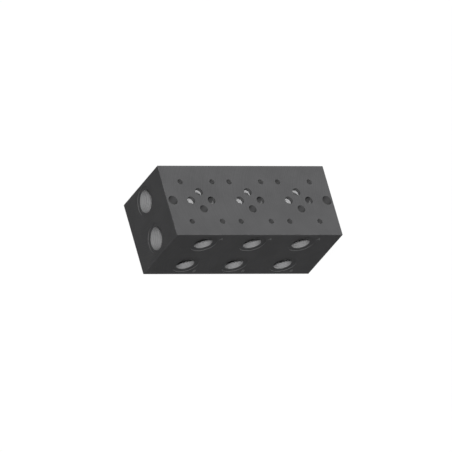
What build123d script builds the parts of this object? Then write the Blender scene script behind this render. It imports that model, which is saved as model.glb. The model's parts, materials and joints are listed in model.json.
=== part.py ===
# Three-station hydraulic manifold block: one drilled and tapped steel bar that carries three
# size 6 directional valves on its top face and feeds them from two common galleries.
#
# Frame: X along the bar, Y across it (the work ports open on the -Y face), Z up, and the origin
# at the centre of the underside. Every passage is drilled from an outside face, as on a real
# block, so each one is a stepped drill shape that is cut from the bar.

import os
from math import radians, tan

from build123d import *

# ---- the bar ----
block_length = 170.0
block_depth = 71.0
block_height = 70.0
edge_break = 0.3

# ---- valve stations on the top face (size 6 interface) ----
station_count = 3
station_pitch = 50.0
station_port_diameter = 7.5
pressure_to_tank = 20.8  # P and T lie on the bar's centre line
port_a_y = -8.8
port_b_y = 8.7
front_screw_y = -21.5
back_screw_y = 19.0
front_screw_spread = 31.0
back_screw_spread = 32.5

# ---- drill shapes ----
drill_point_angle = 118.0
port_mouth_break = 0.4  # the small countersink at each pipe thread's mouth
screw_mouth_break = 0.2

# ---- valve screw holes, M5 ----
valve_screw_thread = 5.0
valve_screw_drill = 4.2
valve_screw_thread_depth = 11.0
valve_screw_drill_depth = 14.0

# ---- common galleries and their end ports, G1/2 ----
gallery_y = 19.0  # the pressure gallery is at -gallery_y, the tank gallery at +gallery_y
gallery_z = 35.0
gallery_diameter = 15.0
end_port_thread = 20.955
end_port_drill = 19.0
end_port_thread_depth = 15.0
end_port_drill_depth = 18.0
end_spot_diameter = 27.0
end_spot_depth = 0.7

# ---- work ports on the front face, G3/8 ----
port_a_z = 53.7
port_b_z = 16.6
work_port_thread = 16.662
work_port_drill = 15.25
work_port_thread_depth = 12.0
work_port_drill_depth = 15.0
work_spot_diameter = 24.5
work_spot_depth = 0.5
work_passage_diameter = 8.0

# ---- drillings below each station ----
pilot_depth = 3.9  # the square start of each slanting drilling
slant_drill_diameter = 6.3
port_b_foot_y = -4.4  # where the long slanting B drilling meets its work port's passage
passage_overrun = 2.0  # how far a work passage runs past the drilling that it meets

# ---- block fixing holes ----
fixing_hole_diameter = 9.0
fixing_hole_inset = 6.0


def point_depth(diameter):
    """Height of the cone that a drill of this diameter leaves at the end of its hole."""
    return diameter / 2 / tan(radians(drill_point_angle / 2))


def drilled_hole(outline, last_diameter, last_depth):
    """A hole with its mouth at the origin, running down -Z: the outline's (radius, depth) corners,
    then a drill of the last diameter with its point past the last depth."""
    tip = last_depth + point_depth(last_diameter)
    corners = [*outline, (last_diameter / 2, last_depth), (0, tip)]
    with BuildPart() as hole:
        with BuildSketch(Plane.XZ):
            with BuildLine():
                Polyline((0, 0), *[(radius, -depth) for radius, depth in corners], close=True)
            make_face()
        revolve(axis=Axis.Z)
    return hole.part


def plain_hole(diameter, depth):
    """One straight drilling."""
    return drilled_hole([(diameter / 2, 0)], diameter, depth)


def tapped_hole(thread, drill, thread_depth, drill_depth, mouth_break):
    """A tapped hole: a broken mouth, the thread, and the end of its tap drill below."""
    outline = [
        (thread / 2 + mouth_break, 0),
        (thread / 2, mouth_break),
        (thread / 2, thread_depth),
        (drill / 2, thread_depth),
    ]
    return drilled_hole(outline, drill, drill_depth)


def pipe_port(thread, drill, thread_depth, drill_depth, spot_diameter, spot_depth):
    """A tapped hole that starts at the bottom of a spot face, where its sealing ring sits."""
    hole = tapped_hole(thread, drill, thread_depth, drill_depth, port_mouth_break)
    with BuildPart() as port:
        with BuildSketch():
            Circle(spot_diameter / 2)
        extrude(amount=-spot_depth)
        with Locations((0, 0, -spot_depth)):
            add(hole)
    return port.part


def slanted_hole(diameter, start, foot):
    """A straight drilling from a start on the top face down to its foot, both (x, y, z) at one x."""
    run = Vector(*foot) - Vector(*start)
    mouth = Plane(origin=start, x_dir=(1, 0, 0), z_dir=-run)
    return mouth * plain_hole(diameter, run.length)


station_x = [station_pitch * (n - (station_count - 1) / 2) for n in range(station_count)]

# ---- the drills ----
end_port = pipe_port(
    end_port_thread,
    end_port_drill,
    end_port_thread_depth,
    end_port_drill_depth,
    end_spot_diameter,
    end_spot_depth,
)
work_port = pipe_port(
    work_port_thread,
    work_port_drill,
    work_port_thread_depth,
    work_port_drill_depth,
    work_spot_diameter,
    work_spot_depth,
)
valve_screw_hole = tapped_hole(
    valve_screw_thread,
    valve_screw_drill,
    valve_screw_thread_depth,
    valve_screw_drill_depth,
    screw_mouth_break,
)
port_pilot = plain_hole(station_port_diameter, pilot_depth)
port_a_drop = plain_hole(station_port_diameter, block_height - port_a_z)
port_a_passage = plain_hole(work_passage_diameter, port_a_y + block_depth / 2 + passage_overrun)
port_b_passage = plain_hole(work_passage_diameter, port_b_foot_y + block_depth / 2 + passage_overrun)

# P and T slant from their mouths out to their galleries. B slants down between the galleries to
# its work port's passage.
port_p_slant, port_t_slant, port_b_slant = (
    slanted_hole(slant_drill_diameter, (x, mouth_y, block_height), (x, foot_y, foot_z))
    for x, mouth_y, foot_y, foot_z in (
        (-pressure_to_tank / 2, 0, -gallery_y, gallery_z),
        (pressure_to_tank / 2, 0, gallery_y, gallery_z),
        (0, port_b_y, port_b_foot_y, port_b_z),
    )
)

# all the metal that is drilled away for one station, which stands at x = 0 here
with BuildPart() as station_drillings:
    # M5 holes for the valve's screws: the front pair stands a little closer than the back pair
    with Locations(
        (-front_screw_spread / 2, front_screw_y, block_height),
        (front_screw_spread / 2, front_screw_y, block_height),
        (-back_screw_spread / 2, back_screw_y, block_height),
        (back_screw_spread / 2, back_screw_y, block_height),
    ):
        add(valve_screw_hole)

    # the slanting drillings, each below its square pilot, and A straight down
    with Locations(
        (-pressure_to_tank / 2, 0, block_height),
        (pressure_to_tank / 2, 0, block_height),
        (0, port_b_y, block_height),
    ):
        add(port_pilot)
    add([port_p_slant, port_t_slant, port_b_slant])
    with Locations((0, port_a_y, block_height)):
        add(port_a_drop)

    # the work ports on the front face, each with the passage that meets its valve port
    for z, passage in ((port_a_z, port_a_passage), (port_b_z, port_b_passage)):
        mouth = (0, -block_depth / 2, z)
        with Locations(Plane(origin=mouth, x_dir=(1, 0, 0), z_dir=(0, -1, 0))):
            add(work_port)
            add(passage)

with BuildPart() as manifold_block:
    with BuildSketch():
        Rectangle(block_length, block_depth)
    extrude(amount=block_height)
    chamfer(manifold_block.edges(), edge_break)

    # two common galleries from end to end, each with a pipe port at both ends
    with BuildSketch(Plane.YZ):
        with Locations((-gallery_y, gallery_z), (gallery_y, gallery_z)):
            Circle(gallery_diameter / 2)
    extrude(amount=block_length / 2, both=True, mode=Mode.SUBTRACT)
    for side in (-1, 1):
        for y in (-gallery_y, gallery_y):
            mouth = (side * block_length / 2, y, gallery_z)
            with Locations(Plane(origin=mouth, x_dir=(0, 1, 0), z_dir=(side, 0, 0))):
                add(end_port, mode=Mode.SUBTRACT)

    # the block's own fixing holes, straight through from top to bottom
    fixing_x = block_length / 2 - fixing_hole_inset
    with BuildSketch():
        with Locations((-fixing_x, 0), (fixing_x, 0)):
            Circle(fixing_hole_diameter / 2)
    extrude(amount=block_height, mode=Mode.SUBTRACT)

    with Locations(*[(x, 0, 0) for x in station_x]):
        add(station_drillings.part, mode=Mode.SUBTRACT)

manifold_block.part.label = "manifold_block"
os.makedirs("parts", exist_ok=True)
export_step(manifold_block.part, "parts/manifold_block.step")
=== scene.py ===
# Hydraulic manifold block: steels, threads, port letters, light and camera around the CAD model

import json
import math

import bpy
from mathutils import Matrix, Vector


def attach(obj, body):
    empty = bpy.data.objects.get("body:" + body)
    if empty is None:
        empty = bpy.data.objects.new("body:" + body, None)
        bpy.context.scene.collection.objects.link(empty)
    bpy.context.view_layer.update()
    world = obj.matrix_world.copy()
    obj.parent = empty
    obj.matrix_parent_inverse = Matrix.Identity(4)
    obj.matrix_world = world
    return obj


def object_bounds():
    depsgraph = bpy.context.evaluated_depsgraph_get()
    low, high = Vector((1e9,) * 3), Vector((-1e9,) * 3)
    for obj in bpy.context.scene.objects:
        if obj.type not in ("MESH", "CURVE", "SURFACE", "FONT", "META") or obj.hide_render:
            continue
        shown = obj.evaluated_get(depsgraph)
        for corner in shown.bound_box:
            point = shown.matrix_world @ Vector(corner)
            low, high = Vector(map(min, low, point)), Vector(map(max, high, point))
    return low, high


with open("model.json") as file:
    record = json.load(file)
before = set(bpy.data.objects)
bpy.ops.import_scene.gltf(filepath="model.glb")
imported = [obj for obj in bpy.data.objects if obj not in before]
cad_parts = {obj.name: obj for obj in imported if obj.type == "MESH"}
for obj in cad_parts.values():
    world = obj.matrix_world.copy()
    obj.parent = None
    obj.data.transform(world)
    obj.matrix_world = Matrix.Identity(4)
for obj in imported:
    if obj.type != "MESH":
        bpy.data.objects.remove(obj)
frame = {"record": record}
lowCorner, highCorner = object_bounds()
cadBox = [list(lowCorner), list(highCorner)]
mounts = {mount["name"]: mount for mount in frame["record"]["mounts"]}
block = bpy.data.objects["manifold_block"]
scene = bpy.context.scene
print("frame loaded, box", cadBox)


# small helpers for shader trees

def addNode(tree, kind, inputs=None, **settings):
    node = tree.nodes.new(kind)
    for name, value in settings.items():
        setattr(node, name, value)
    for key, value in (inputs or {}).items():
        if isinstance(value, bpy.types.NodeSocket):
            tree.links.new(value, node.inputs[key])
        else:
            node.inputs[key].default_value = value
    return node


def calculate(tree, operation, *values):
    # one Math node; each value is a number or another node's output
    return addNode(tree, "ShaderNodeMath", dict(enumerate(values)), operation=operation).outputs[0]


def calculateVector(tree, operation, *values):
    return addNode(tree, "ShaderNodeVectorMath", dict(enumerate(values)), operation=operation).outputs[0]


def remap(tree, value, fromRange, toRange=(0.0, 1.0)):
    inputs = dict(enumerate((value, *fromRange, *toRange)))
    return addNode(tree, "ShaderNodeMapRange", inputs, interpolation_type="SMOOTHSTEP").outputs[0]


def newGroup(name, inputs, outputs):
    tree = bpy.data.node_groups.new(name, "ShaderNodeTree")
    for socketName, kind, value in inputs:
        tree.interface.new_socket(socketName, in_out="INPUT", socket_type=kind).default_value = value
    for socketName in outputs:
        tree.interface.new_socket(socketName, in_out="OUTPUT", socket_type="NodeSocketFloat")
    return tree, tree.nodes.new("NodeGroupInput"), tree.nodes.new("NodeGroupOutput")


# how far a point of the bar lies from the nearest edge

def makeBarPlace():
    halfSize = [(high - low) / 2 for low, high in zip(*cadBox)]
    middle = [(low + high) / 2 for low, high in zip(*cadBox)]
    tree, given, result = newGroup("barPlace", [("Half Size", "NodeSocketVector", halfSize)], ["From Edge"])
    place = addNode(tree, "ShaderNodeTexCoord").outputs["Object"]
    outward = calculateVector(tree, "ABSOLUTE", calculateVector(tree, "SUBTRACT", place, middle))
    inward = calculateVector(tree, "SUBTRACT", given.outputs["Half Size"], outward)
    x, y, z = addNode(tree, "ShaderNodeSeparateXYZ", {0: inward}).outputs
    # two faces meet in an edge, so the middle one of the three depths is the distance to it
    lesser = calculate(tree, "MINIMUM", x, y)
    greater = calculate(tree, "MAXIMUM", x, y)
    fromEdge = calculate(tree, "MAXIMUM", lesser, calculate(tree, "MINIMUM", greater, z))
    tree.links.new(fromEdge, result.inputs["From Edge"])
    return tree


# the curved feed marks that a face mill leaves on each outside face, and the faint patches of any steel

millLook = {"cutterRadius": 0.06, "feed": 0.0008, "markDetail": 3.0, "markRoughness": 0.6,
            "patchScale": 45.0, "patchDetail": 4.0, "patchRoughness": 0.55,
            "facing": 0.7}  # a face whose normal has this much of an axis faces along it


def makeMillMarks():
    tree, given, result = newGroup(
        "millMarks",
        [
            ("Cutter Radius", "NodeSocketFloat", millLook["cutterRadius"]),
            ("Feed", "NodeSocketFloat", millLook["feed"]),
        ],
        ["Height", "Patches"],
    )
    place = addNode(tree, "ShaderNodeTexCoord").outputs["Object"]
    normal = addNode(tree, "ShaderNodeNewGeometry").outputs["True Normal"]
    x, y, z = addNode(tree, "ShaderNodeSeparateXYZ", {0: place}).outputs
    sideways = addNode(tree, "ShaderNodeSeparateXYZ", {0: normal}).outputs
    onEnd = calculate(tree, "GREATER_THAN", calculate(tree, "ABSOLUTE", sideways["X"]), millLook["facing"])
    onLevel = calculate(tree, "GREATER_THAN", calculate(tree, "ABSOLUTE", sideways["Z"]), millLook["facing"])
    fromMiddleZ = calculate(tree, "SUBTRACT", z, (cadBox[0][2] + cadBox[1][2]) / 2)
    along = addNode(tree, "ShaderNodeMix", {"Factor": onEnd, "A": x, "B": y}).outputs[0]
    across = addNode(tree, "ShaderNodeMix", {"Factor": onLevel, "A": fromMiddleZ, "B": y}).outputs[0]
    # each mark is an arc of the cutter's rim, one feed on from the last
    radius = given.outputs["Cutter Radius"]
    radiusSquared = calculate(tree, "MULTIPLY", radius, radius)
    acrossSquared = calculate(tree, "MULTIPLY", across, across)
    bulge = calculate(tree, "SQRT", calculate(tree, "SUBTRACT", radiusSquared, acrossSquared))
    travel = calculate(tree, "DIVIDE", calculate(tree, "ADD", along, bulge), given.outputs["Feed"])
    marks = addNode(
        tree, "ShaderNodeTexNoise",
        {"W": travel, "Scale": 1.0, "Detail": millLook["markDetail"], "Roughness": millLook["markRoughness"]},
        noise_dimensions="1D",
    )
    patches = addNode(
        tree, "ShaderNodeTexNoise",
        {"Vector": place, "Scale": millLook["patchScale"], "Detail": millLook["patchDetail"],
         "Roughness": millLook["patchRoughness"]},
    )
    tree.links.new(marks.outputs[0], result.inputs["Height"])
    tree.links.new(patches.outputs[0], result.inputs["Patches"])
    return tree


barPlace = makeBarPlace()
millMarks = makeMillMarks()


# steels: a dark matt finish on the milled outside, plainer ones where it is drilled, a lighter one in the
# pipe ports that is partly machined steel and partly painted highlight, a painted highlight on the pilots'
# cones and painted shade on the threaded walls

steelFinishes = {
    "blockSteel": {"colour": (0.094, 0.094, 0.096), "roughness": 0.65, "patches": 0.10, "specular": 0.01,
                   # the edges' lightening is partly wear and partly painted edge highlight
                   "marks": 0.14, "markHeight": 0.00006, "wearAndHighlight": 0.35},
    "holeSteel": {"colour": (0.132, 0.132, 0.134), "roughness": 0.6, "patches": 0.12},
    # the pipe ports' walls and thread ridges: machined steel made lighter than the other drilled walls, as
    # painted highlight
    "portSteelAndHighlight": {"colour": (0.33, 0.33, 0.334), "roughness": 0.55, "patches": 0.10},
    # the threaded walls between the ridges: painted shade, darker than the ridges
    "paintedGrooveShade": {"colour": (0.25, 0.25, 0.253), "roughness": 0.6, "patches": 0.10},
    "screwSteel": {"colour": (0.11, 0.11, 0.111), "roughness": 0.6, "patches": 0.12},
    "letterSteel": {"colour": (0.26, 0.26, 0.262), "roughness": 0.6, "patches": 0.20},
    # the P and B pilots' cones: painted highlight, much lighter than the other drilled walls
    "paintedConeHighlight": {"colour": (0.36, 0.36, 0.364), "roughness": 0.55, "patches": 0.10},
}
steelTones = {"noise": (0.3, 0.7), "worn": (0.4, 0.65), "edgeWidth": 0.0005, "bumpStrength": 0.25}


def makeSteel(name, look):
    material = bpy.data.materials.new(name)
    material.use_nodes = True
    tree = material.node_tree
    shader = tree.nodes["Principled BSDF"]
    shader.inputs["Roughness"].default_value = look["roughness"]
    shader.inputs["Specular IOR Level"].default_value = look.get("specular", 0.0)
    marks = addNode(tree, "ShaderNodeGroup", node_tree=millMarks)
    patchRange = (1 - look["patches"] / 2, 1 + look["patches"] / 2)
    tone = remap(tree, marks.outputs["Patches"], steelTones["noise"], patchRange)
    if "marks" in look:
        # milled: the feed marks show, and the edges are lighter in places, partly rubbed wear and partly
        # painted edge highlight
        height = marks.outputs["Height"]
        streaks = remap(tree, height, steelTones["noise"], (-look["marks"] / 2, look["marks"] / 2))
        place = addNode(tree, "ShaderNodeGroup", node_tree=barPlace)
        nearEdge = remap(tree, place.outputs["From Edge"], (steelTones["edgeWidth"], 0.0))
        rubbedAndHighlight = remap(tree, marks.outputs["Patches"], steelTones["worn"], (0.0, look["wearAndHighlight"]))
        tone = calculate(tree, "MULTIPLY_ADD", nearEdge, rubbedAndHighlight, calculate(tree, "ADD", tone, streaks))
        bump = addNode(tree, "ShaderNodeBump", {"Height": height, "Distance": look["markHeight"]})
        bump.inputs["Strength"].default_value = steelTones["bumpStrength"]
        tree.links.new(bump.outputs[0], shader.inputs["Normal"])
    colour = addNode(tree, "ShaderNodeVectorMath", {0: look["colour"], "Scale": tone}, operation="SCALE")
    tree.links.new(colour.outputs[0], shader.inputs["Base Color"])
    return material


steels = {name: makeSteel(name, look) for name, look in steelFinishes.items()}
print("steels done")


# the pipe ports, each with the middle of its mouth and the axis that points out of it

ports = []
for name, mount in mounts.items():
    if mount["kind"] == "threaded_hole":
        axis = Vector(mount["axis"])
        length = mount["dims"]["length_mm"] / 1000
        mouth = Vector(mount["pos_m"]) + axis * length / 2
        radius = mount["dims"]["r_mm"] / 1000
        ports.append({"name": name, "mouth": mouth, "axis": axis, "radius": radius, "length": length})

# T is the +X one of each station's P and T pair
tankPorts = [
    mount["pos_m"][0] + mount["dims"]["spacing_x_mm"] / 2000
    for name, mount in mounts.items() if name.startswith("valve_ports_pt")
]


# every face of the block takes a finish by where it lies: an outside face or spot face, a pipe port (lighter
# as painted highlight, its threaded wall darker as painted shade), a pilot's cone (lighter as painted
# highlight), or the wall of a smaller hole

facePlaces = {
    "skin": 0.00075, "flat": 0.00035,  # how deep an outside face or spot face lies, and how uneven it is
    "portStart": -0.001, "portReach": 0.0225, "threadSlack": 0.00001,
    "portWidth": 1.06, "mouthWidth": 1.02, "wallWidth": 0.98,  # in the port's radius
    "pilotDepth": 0.007, "pilotWidth": 0.0045, "coneSlopes": (0.3, 0.97),
}


def skinFinish(corners):
    # flat on an outside face or on a spot face's floor, or the thin wall round a spot face
    for k in range(3):
        for plane in (cadBox[0][k], cadBox[1][k]):
            depths = [abs(corner[k] - plane) for corner in corners]
            if max(depths) < facePlaces["skin"]:
                return "blockSteel" if max(depths) - min(depths) < facePlaces["flat"] else "holeSteel"
    return None


def portFinish(corners):
    for port in ports:
        depths = [(port["mouth"] - corner).dot(port["axis"]) for corner in corners]
        widths = [
            (corner - port["mouth"] + port["axis"] * depth).length / port["radius"]
            for corner, depth in zip(corners, depths)
        ]
        inDepth = facePlaces["portStart"] < min(depths) and max(depths) < facePlaces["portReach"]
        if inDepth and max(widths) < facePlaces["portWidth"]:
            if max(widths) > facePlaces["mouthWidth"]:
                return "blockSteel"  # the mouth's countersink
            onWall = min(widths) > facePlaces["wallWidth"]
            threaded = onWall and max(depths) < port["length"] + facePlaces["threadSlack"]
            # the threaded wall between the ridges gets painted shade, the rest of the port the lighter steel
            # that is partly painted highlight
            return "paintedGrooveShade" if threaded else "portSteelAndHighlight"
    return None


def holeFinish(corners, slope):
    lowSlope, highSlope = facePlaces["coneSlopes"]
    onCone = lowSlope < slope < highSlope and cadBox[1][2] - corners[0].z < facePlaces["pilotDepth"]
    inTankPort = any(abs(corners[0].x - x) < facePlaces["pilotWidth"] for x in tankPorts)
    # a P or B pilot's cone gets the painted highlight; a tank port's cone is left plain, as painted shade
    return "paintedConeHighlight" if onCone and not inTankPort else "holeSteel"


def dressBlock():
    block.data.materials.clear()
    slots = {}
    for face in block.data.polygons:
        corners = [block.data.vertices[k].co for k in face.vertices]
        finish = skinFinish(corners) or portFinish(corners) or holeFinish(corners, face.normal.z)
        if finish not in slots:
            slots[finish] = len(slots)
            block.data.materials.append(steels[finish])
        face.material_index = slots[finish]


dressBlock()
print("block finish done")


# threads: a low helical ridge stands inward from each tapped hole's wall

pipeThreads = {"largeFrom": 0.009, "largePitch": 0.001814, "smallPitch": 0.001337, "turnSteps": 96}
screwThread = {"pitch": 0.0008, "turnSteps": 40, "mouth": 0.0002, "depth": 0.011}
ridge = {"foot": 0.44, "land": 0.20, "height": 0.10,  # half widths and height, in pitches
         "steps": 4, "sunk": 0.00004,  # its foot lies this far inside the wall
         "start": 0.3}  # how steeply the first turn rises from the mouth


def ridgeProfile(wallRadius, pitch):
    # from the foot in the wall up a rounded flank to the flat land, and down the other side
    profile = []
    for k in range(ridge["steps"] + 1):
        share = k / ridge["steps"]
        rise = share * share * (3 - 2 * share) * (ridge["height"] * pitch + ridge["sunk"])
        offset = ridge["foot"] + (ridge["land"] - ridge["foot"]) * share
        profile.append((-offset * pitch, wallRadius + ridge["sunk"] - rise))
    return profile + [(-offset, radius) for offset, radius in reversed(profile)]


def threadMesh(name, wallRadius, pitch, length, turnSteps):
    # the hole's mouth is at z = 0 and the thread runs down -Z to its length, from half a pitch above
    profile = ridgeProfile(wallRadius, pitch)
    steps = int((length / pitch + 1) * turnSteps)
    vertices, faces = [], []
    for step in range(steps + 1):
        angle = 2 * math.pi * step / turnSteps
        for offset, radius in profile:
            depth = pitch * (step / turnSteps - 0.5) + offset
            depth = min(max(depth, 0.0), length + ridge["sunk"])
            inner = max(radius, wallRadius - depth * ridge["start"])
            vertices.append((inner * math.cos(angle), inner * math.sin(angle), -depth))
    rows = len(profile)
    for step in range(steps):
        for k in range(rows - 1):
            a = step * rows + k
            faces.append((a, a + rows, a + rows + 1, a + 1))
    mesh = bpy.data.meshes.new(name)
    mesh.from_pydata(vertices, [], faces)
    mesh.shade_smooth()
    return mesh


def addThread(name, mouth, axis, finish, **sizes):
    mesh = threadMesh(name, **sizes)
    turn = Vector(axis).to_track_quat("Z", "Y").to_matrix().to_4x4()
    mesh.transform(Matrix.Translation(mouth) @ turn)
    mesh.materials.append(steels[finish])
    thread = bpy.data.objects.new(name, mesh)
    scene.collection.objects.link(thread)
    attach(thread, "root")


for port in ports:
    large = port["radius"] > pipeThreads["largeFrom"]
    # the ridges take the ports' lighter steel, which is partly painted highlight
    addThread(
        f"{port['name']}_thread", port["mouth"], port["axis"], "portSteelAndHighlight",
        wallRadius=port["radius"], pitch=pipeThreads["largePitch" if large else "smallPitch"],
        length=port["length"], turnSteps=pipeThreads["turnSteps"],
    )

for name, mount in mounts.items():
    if name.startswith("valve_screws"):
        for sideName, side in (("left", -1), ("right", 1)):
            out = Vector((side * mount["dims"]["spacing_x_mm"] / 2000, 0, -screwThread["mouth"]))
            addThread(
                f"{name}_thread_{sideName}", Vector(mount["pos_m"]) + out, (0, 0, 1), "screwSteel",
                wallRadius=mount["dims"]["hole_r_mm"] / 1000, pitch=screwThread["pitch"],
                length=screwThread["depth"] - screwThread["mouth"], turnSteps=screwThread["turnSteps"],
            )
print("threads done")


# a letter is etched beside each work port: A by the upper row and B by the lower row

portLetters = {"size": 0.0054, "proud": 0.00002,
               "a": (0.0140, 0.0085), "b": (0.0143, -0.0109)}  # right and up from the port's middle


def addLetter(mount, row):
    right, up = portLetters[row]
    text = bpy.data.curves.new(f"letter_{row}", "FONT")
    text.body = row.upper()
    text.size = portLetters["size"]
    text.align_x = "CENTER"
    text.align_y = "CENTER"
    text.materials.append(steels["letterSteel"])
    letter = bpy.data.objects.new(text.name, text)
    place = Vector((mount["pos_m"][0] + right, cadBox[0][1] - portLetters["proud"], mount["pos_m"][2] + up))
    letter.matrix_world = Matrix.Translation(place) @ Matrix.Rotation(math.radians(90), 4, "X")
    scene.collection.objects.link(letter)
    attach(letter, "root")


for name, mount in mounts.items():
    if name.startswith("work_port"):
        addLetter(mount, name[len("work_port_")])
print("letters done")


# camera: a long lens, leaned about X and then about Y, so that the bar's length lies level

cameraSettings = {"lens": 1000, "frameWidth": 0.40225, "leanX": 30, "leanY": -30, "clip": (0.5, 40),
                  "aim": (-0.00555, -0.00304, -0.00548)}  # from the bar's middle

cameraData = bpy.data.cameras.new("camera")
camera = bpy.data.objects.new("camera", cameraData)
scene.collection.objects.link(camera)
scene.camera = camera
cameraData.lens = cameraSettings["lens"]
cameraData.clip_start, cameraData.clip_end = cameraSettings["clip"]
cameraDistance = cameraSettings["frameWidth"] * cameraData.lens / cameraData.sensor_width
cameraTurn = (
    Matrix.Rotation(math.radians(cameraSettings["leanX"]), 4, "X")
    @ Matrix.Rotation(math.radians(cameraSettings["leanY"]), 4, "Y")
)
towardCamera = cameraTurn.to_3x3() @ Vector((0, 0, 1))
aimPoint = (lowCorner + highCorner) / 2 + Vector(cameraSettings["aim"])
camera.matrix_world = Matrix.Translation(aimPoint + towardCamera * cameraDistance) @ cameraTurn
print("camera done")


# floor and surroundings: white where they are seen, but they send little light back up

studio = {"floorColour": (0.05, 0.05, 0.05), "floorGlow": 0.96, "floorReach": 30.0,
          "worldColour": (1, 1, 1), "worldLight": 0.03}


def seenDirectly(tree):
    path = addNode(tree, "ShaderNodeLightPath").outputs
    inGloss = calculate(tree, "MAXIMUM", path["Is Glossy Ray"], path["Is Transmission Ray"])
    return calculate(tree, "MAXIMUM", path["Is Camera Ray"], inGloss)


def makeFloor():
    reach = studio["floorReach"]
    mesh = bpy.data.meshes.new("floor")
    corners = [(x * reach, y * reach, lowCorner.z) for x, y in ((-1, -1), (1, -1), (1, 1), (-1, 1))]
    mesh.from_pydata(corners, [], [(0, 1, 2, 3)])
    floor = bpy.data.objects.new("floor", mesh)
    scene.collection.objects.link(floor)
    paint = bpy.data.materials.new("floorPaint")
    paint.use_nodes = True
    tree = paint.node_tree
    shader = tree.nodes["Principled BSDF"]
    shader.inputs["Base Color"].default_value = (*studio["floorColour"], 1)
    shader.inputs["Roughness"].default_value = 1.0
    shader.inputs["Specular IOR Level"].default_value = 0.0
    shader.inputs["Emission Color"].default_value = (1, 1, 1, 1)
    glow = calculate(tree, "MULTIPLY", seenDirectly(tree), studio["floorGlow"])
    tree.links.new(glow, shader.inputs["Emission Strength"])
    mesh.materials.append(paint)


def makeWorld():
    world = bpy.data.worlds.new("studio")
    world.use_nodes = True
    tree = world.node_tree
    background = tree.nodes["Background"]
    background.inputs["Color"].default_value = (*studio["worldColour"], 1)
    mixInputs = {"Factor": seenDirectly(tree), "A": studio["worldLight"], "B": 1.0}
    strength = addNode(tree, "ShaderNodeMix", mixInputs).outputs[0]
    tree.links.new(strength, background.inputs["Strength"])
    scene.world = world


makeFloor()
makeWorld()


# lights: the main one from the front left, which reaches into the holes, with a low one under it, and
# one each for the top, the right end and the back

lights = {
    "frontLight": {"from": (-0.49, -0.325, 0.80), "strength": 0.8, "spread": 6},
    "lowLight": {"from": (-0.7, -0.7, 0.02), "strength": 0.07, "spread": 15},
    "topLight": {"from": (0, 0, 1), "strength": 0.36, "spread": 4},
    "rightLight": {"from": (0.9, -0.12, 0.3), "strength": 0.3, "spread": 15},
    "backLight": {"from": (0.35, 0.8, 0.16), "strength": 0.5, "spread": 15},
}

for name, look in lights.items():
    sun = bpy.data.lights.new(name, "SUN")
    sun.energy = look["strength"] * math.pi
    sun.angle = math.radians(look["spread"])
    lamp = bpy.data.objects.new(name, sun)
    lamp.matrix_world = Vector(look["from"]).to_track_quat("Z", "Y").to_matrix().to_4x4()
    scene.collection.objects.link(lamp)
print("studio done")

scene.view_settings.view_transform = "Standard"
